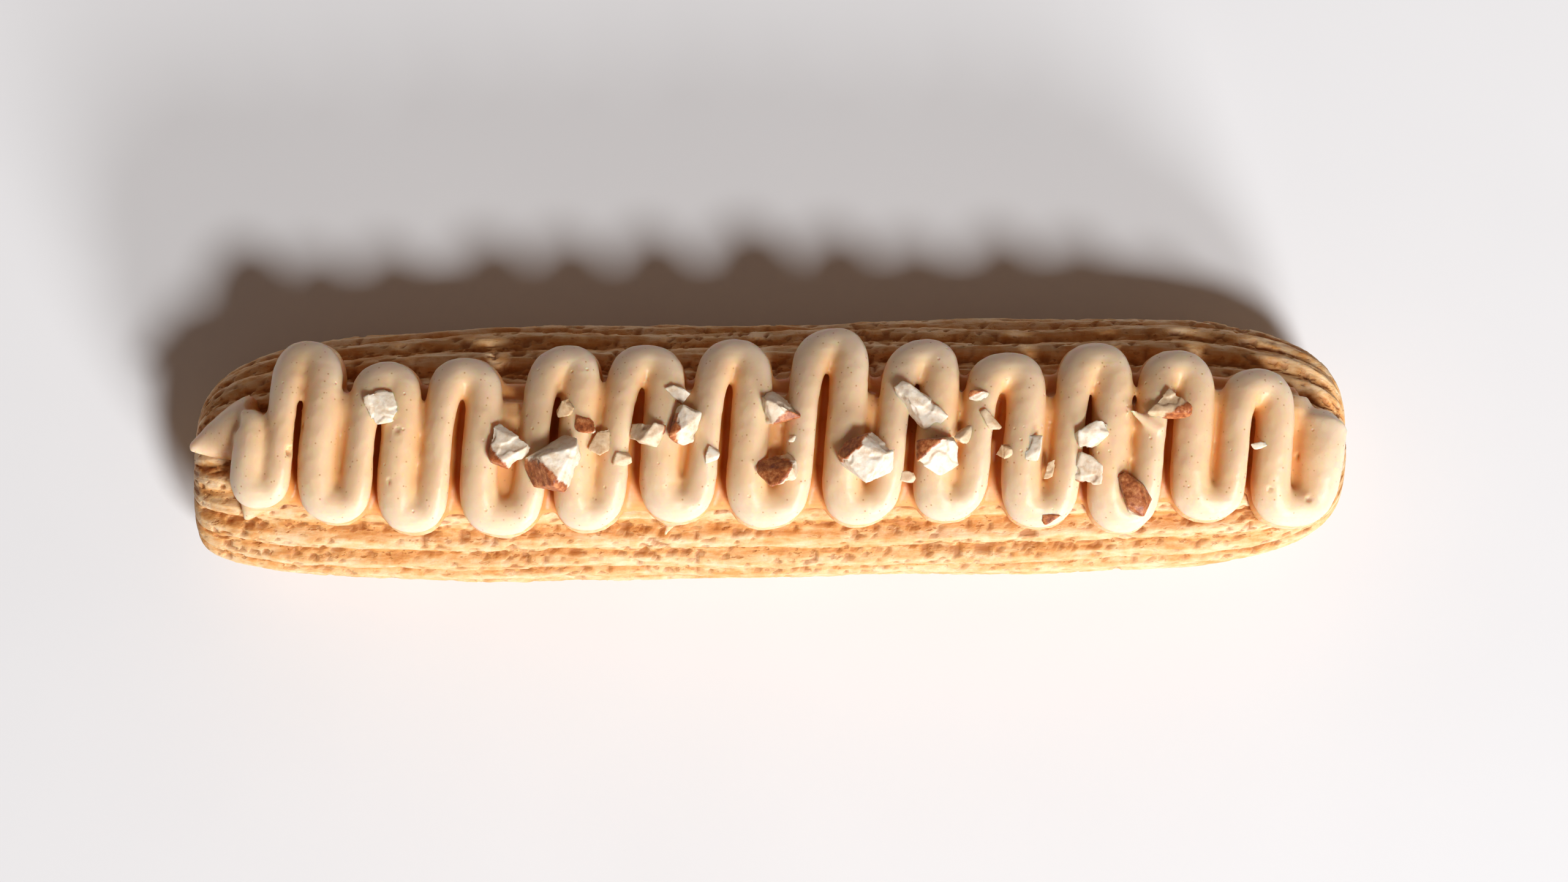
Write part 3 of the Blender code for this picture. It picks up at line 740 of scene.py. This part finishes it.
class Finish:
    """A Principled material and short ways to add nodes to it."""

    def __init__(self, name, roughness, **settings):
        self.material = bpy.data.materials.new(name)
        self.material.use_nodes = True
        self.tree = self.material.node_tree
        self.shader = self.tree.nodes["Principled BSDF"]
        self.shader.inputs["Roughness"].default_value = roughness
        for label, value in settings.items():
            self.shader.inputs[label.replace("_", " ")].default_value = value

    def node(self, kind, **inputs):
        made = self.tree.nodes.new(kind)
        for label, value in inputs.items():
            socket = made.inputs[int(label[1:]) if label[0] == "i" and label[1:].isdigit() else label]
            if isinstance(value, bpy.types.NodeSocket):
                self.tree.links.new(value, socket)
            else:
                socket.default_value = value
        return made

    def attribute(self, name):
        made = self.tree.nodes.new("ShaderNodeAttribute")
        made.attribute_name = name
        return made.outputs["Fac"]

    def place(self, scale):
        coordinates = self.tree.nodes.new("ShaderNodeTexCoord")
        mapping = self.node("ShaderNodeMapping", Vector=coordinates.outputs["Object"], Scale=scale)
        return mapping.outputs["Vector"]

    def noise(self, vector, scale, detail=3.0, roughness=0.5):
        made = self.node(
            "ShaderNodeTexNoise", Vector=vector, Scale=scale, Detail=detail, Roughness=roughness
        )
        return made.outputs["Fac"]

    def voronoi(self, vector, scale):
        return self.node("ShaderNodeTexVoronoi", Vector=vector, Scale=scale)

    def ramp(self, factor, *stops):
        made = self.tree.nodes.new("ShaderNodeValToRGB")
        while len(made.color_ramp.elements) < len(stops):
            made.color_ramp.elements.new(0.5)
        for element, (position, colour) in zip(made.color_ramp.elements, stops):
            element.position = position
            element.color = (*colour, 1)
        self.tree.links.new(factor, made.inputs["Fac"])
        return made.outputs["Color"]

    def range(self, value, from_low, from_high, to_low=0.0, to_high=1.0):
        made = self.node("ShaderNodeMapRange", i0=value, i1=from_low, i2=from_high, i3=to_low, i4=to_high)
        return made.outputs["Result"]

    def math(self, operation, first, second):
        made = self.node("ShaderNodeMath", i0=first, i1=second)
        made.operation = operation
        return made.outputs["Value"]

    def mix(self, factor, first, second):
        made = self.tree.nodes.new("ShaderNodeMix")
        made.data_type = "RGBA"
        for label, value in (("Factor", factor), ("A", first), ("B", second)):
            socket = next(s for s in made.inputs if s.name == label and s.enabled)
            if isinstance(value, bpy.types.NodeSocket):
                self.tree.links.new(value, socket)
            elif label == "Factor":
                socket.default_value = value
            else:
                socket.default_value = (*value, 1)
        return next(s for s in made.outputs if s.enabled)

    def bump(self, height, distance, strength=1.0, normal=None):
        made = self.node("ShaderNodeBump", Height=height, Distance=distance, Strength=strength)
        if normal is not None:
            self.tree.links.new(normal, made.inputs["Normal"])
        return made.outputs["Normal"]

    def finish(self, colour, normal):
        self.tree.links.new(colour, self.shader.inputs["Base Color"])
        self.tree.links.new(normal, self.shader.inputs["Normal"])
        return self.material


def crust_finish():
    made = Finish("baked_crust", 0.6, Specular_IOR_Level=0.35, Subsurface_Weight=0.3)
    made.shader.inputs["Subsurface Radius"].default_value = (1.0, 0.4, 0.15)
    made.shader.inputs["Subsurface Scale"].default_value = 0.9 * MM
    long_grain = made.place((190, 900, 900))
    even_grain = made.place((1000, 1000, 1000))
    pore_grain = made.place((700, 1300, 1300))
    streaks = made.noise(long_grain, 1.0, 4.0, 0.62)
    mottle = made.noise(even_grain, 0.55, 4.0, 0.62)
    pores = made.noise(pore_grain, 1.15, 2.0, 0.55)
    tone = made.math("MULTIPLY", made.range(streaks, 0.32, 0.68), 0.55)
    # Grooves add to the tone and make the crust darker there: painted shade in the grooves
    tone = made.math("ADD", made.math("MULTIPLY", made.attribute("groove"), 0.38), tone)
    tone = made.math("ADD", tone, made.math("MULTIPLY", made.attribute("brown"), 0.30))
    tone = made.math("ADD", tone, made.math("MULTIPLY", made.range(mottle, 0.35, 0.65), 0.30))
    colour = made.ramp(
        made.range(tone, 0.35, 1.35),
        (0.0, (0.86, 0.62, 0.38)),
        (0.30, (0.80, 0.49, 0.23)),
        (0.62, (0.70, 0.33, 0.10)),
        (1.0, (0.48, 0.17, 0.04)),
    )
    # Pits and open pores are mixed to a dark brown: painted shade in these hollows
    open_pores = made.range(pores, 0.60, 0.68)
    near_groove = made.range(made.attribute("groove"), 0.0, 1.0, 0.15, 1.0)
    small_pits = made.math("MULTIPLY", open_pores, near_groove)
    hollow = made.math("MAXIMUM", small_pits, made.attribute("pit"))
    colour = made.mix(made.math("MULTIPLY", hollow, 0.8), colour, (0.42, 0.14, 0.03))
    sunk = made.bump(made.math("SUBTRACT", 1.0, hollow), 0.3 * MM, 0.6)
    rough = made.bump(mottle, 0.25 * MM, 0.7, sunk)
    fine = made.bump(streaks, 0.3 * MM, 0.6, rough)
    return made.finish(colour, fine)


def cream_finish():
    made = Finish("praline_cream", 0.4, Specular_IOR_Level=0.42, Subsurface_Weight=1.0)
    made.shader.inputs["Subsurface Radius"].default_value = (1.0, 0.30, 0.08)
    made.shader.inputs["Subsurface Scale"].default_value = 0.9 * MM
    even = made.place((1000, 1000, 1000))
    cloudy = made.noise(even, 0.16, 3.0, 0.5)
    # Painted shade: the colour turns pale on crests and deep orange-brown with the depth in the hollows
    # between passes, with a little random cloudiness of tone
    sunk = made.math("ADD", made.attribute("painted_shade_depth"), made.range(cloudy, 0.3, 0.7, -0.3, 0.3))
    colour = made.ramp(
        made.range(sunk, -3.0, 5.0),
        (0.0, (0.87, 0.70, 0.52)),
        (0.22, (0.86, 0.67, 0.46)),
        (0.38, (0.84, 0.57, 0.32)),
        (0.52, (0.78, 0.41, 0.16)),
        (0.85, (0.66, 0.25, 0.05)),
    )
    cells = made.voronoi(even, 1.3)
    chosen = made.range(cells.outputs["Color"], 0.50, 0.56)
    dot = made.range(cells.outputs["Distance"], 0.07, 0.20, 0.75, 0.0)
    colour = made.mix(made.math("MULTIPLY", dot, chosen), colour, (0.52, 0.24, 0.07))
    pores = made.voronoi(even, 0.7)
    hole = made.range(pores.outputs["Distance"], 0.04, 0.16, 0.0, 1.0)
    picked = made.range(pores.outputs["Color"], 0.28, 0.31)
    pitted = made.math("MAXIMUM", hole, picked)
    soft = made.bump(made.noise(even, 0.9, 3.0, 0.5), 0.12 * MM, 0.5)
    return made.finish(colour, made.bump(pitted, 0.25 * MM, 0.5, soft))


def nut_finish():
    made = Finish("hazelnut", 0.42, Specular_IOR_Level=0.4, Subsurface_Weight=0.4)
    made.shader.inputs["Subsurface Radius"].default_value = (1.0, 0.7, 0.45)
    made.shader.inputs["Subsurface Scale"].default_value = 0.7 * MM
    even = made.place((1000, 1000, 1000))
    crumbs = made.noise(even, 0.9, 5.0, 0.65)
    white = made.ramp(
        crumbs,
        (0.32, (0.78, 0.60, 0.42)),
        (0.48, (0.89, 0.78, 0.63)),
        (0.62, (0.92, 0.85, 0.74)),
    )
    tanned = made.ramp(crumbs, (0.32, (0.56, 0.31, 0.13)), (0.66, (0.80, 0.57, 0.32)))
    flesh = made.mix(made.attribute("tan"), white, tanned)
    wrinkles = made.noise(even, 1.4, 5.0, 0.65)
    skin = made.ramp(
        wrinkles,
        (0.32, (0.18, 0.04, 0.014)),
        (0.50, (0.44, 0.125, 0.035)),
        (0.68, (0.70, 0.31, 0.12)),
    )
    colour = made.mix(made.attribute("skin"), flesh, skin)
    normal = made.bump(crumbs, 0.18 * MM, 0.5)
    return made.finish(colour, made.bump(wrinkles, 0.12 * MM, 0.4, normal))


def floor_finish():
    made = Finish("pale_floor", 0.7, Specular_IOR_Level=0.2)
    even = made.place((20, 20, 20))
    faint = made.noise(even, 1.0, 3.0, 0.5)
    colour = made.ramp(faint, (0.3, (0.80, 0.80, 0.81)), (0.7, (0.82, 0.82, 0.83)))
    return made.finish(colour, made.bump(faint, 0.05 * MM, 0.2))


# ---- stage, light and camera --------------------------------------------------------------------

AIM = Vector((1.6, 1.1, 12)) * MM
CAMERA_DISTANCE = 0.508
CAMERA_TILT = math.radians(3.5)
LENS_LENGTH = 92.3
FLOOR_REACH = 3.0

# The window's high and low parts: (azimuth, elevation, distance, width, height, energy)
WINDOW = {
    "window_high": (-56, 54, 1.7, 0.40, 0.40, 21.5),
    "window_low": (-63, 26, 1.7, 0.54, 0.60, 23.0),
}
WINDOW_COLOUR = (0.97, 0.985, 1.0)
ROOM_COLOUR = (1.0, 0.70, 0.55, 1)
ROOM_STRENGTH = 0.13


def make_stage():
    mesh = bpy.data.meshes.new("floor")
    far = FLOOR_REACH
    corners = [(-far, -far, 0), (far, -far, 0), (far, far, 0), (-far, far, 0)]
    mesh.from_pydata(corners, [], [(0, 1, 2, 3)])
    floor = new_object("floor", mesh)
    mesh.materials.append(floor_finish())


def make_light():
    for name, (azimuth, elevation, distance, width, height, energy) in WINDOW.items():
        lamp = bpy.data.lights.new(name, "AREA")
        lamp.shape = "ELLIPSE"
        lamp.size = width
        lamp.size_y = height
        lamp.energy = energy
        lamp.color = WINDOW_COLOUR
        light = new_object(name, lamp)
        flat = math.cos(math.radians(elevation))
        way = Vector((
            flat * math.cos(math.radians(azimuth)),
            flat * math.sin(math.radians(azimuth)),
            math.sin(math.radians(elevation)),
        ))
        light.location = AIM + way * distance
        light.rotation_euler = way.to_track_quat("Z", "Y").to_euler()
    world = bpy.data.worlds.new("room")
    bpy.context.scene.world = world
    world.use_nodes = True
    sky = world.node_tree.nodes["Background"]
    sky.inputs["Color"].default_value = ROOM_COLOUR
    sky.inputs["Strength"].default_value = ROOM_STRENGTH


def make_camera():
    lens = bpy.data.cameras.new("camera")
    lens.sensor_width = 36
    lens.lens = LENS_LENGTH
    lens.clip_start = 0.01
    camera = new_object("camera", lens)
    back = Vector((0, -math.sin(CAMERA_TILT), math.cos(CAMERA_TILT)))
    camera.location = AIM + back * CAMERA_DISTANCE
    camera.rotation_euler = (CAMERA_TILT, 0, 0)
    bpy.context.scene.camera = camera


def clear_startup():
    for startup in list(bpy.data.objects):
        bpy.data.objects.remove(startup)


def main():
    clear_startup()
    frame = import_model()
    bpy.context.scene.view_settings.view_transform = "Standard"

    crust = make_crust()
    crust.data.materials.append(crust_finish())
    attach(crust, "root")
    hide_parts("choux")

    cream = make_cream(crust)
    cream.data.materials.clear()
    cream.data.materials.append(cream_finish())
    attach(cream, "root")
    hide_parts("cream")

    finish = nut_finish()
    for name in sorted(NUT_LOOKS):
        make_nut(frame["nodes"][name], finish)
    make_chips(cream, finish)

    make_stage()
    make_light()
    make_camera()


main()
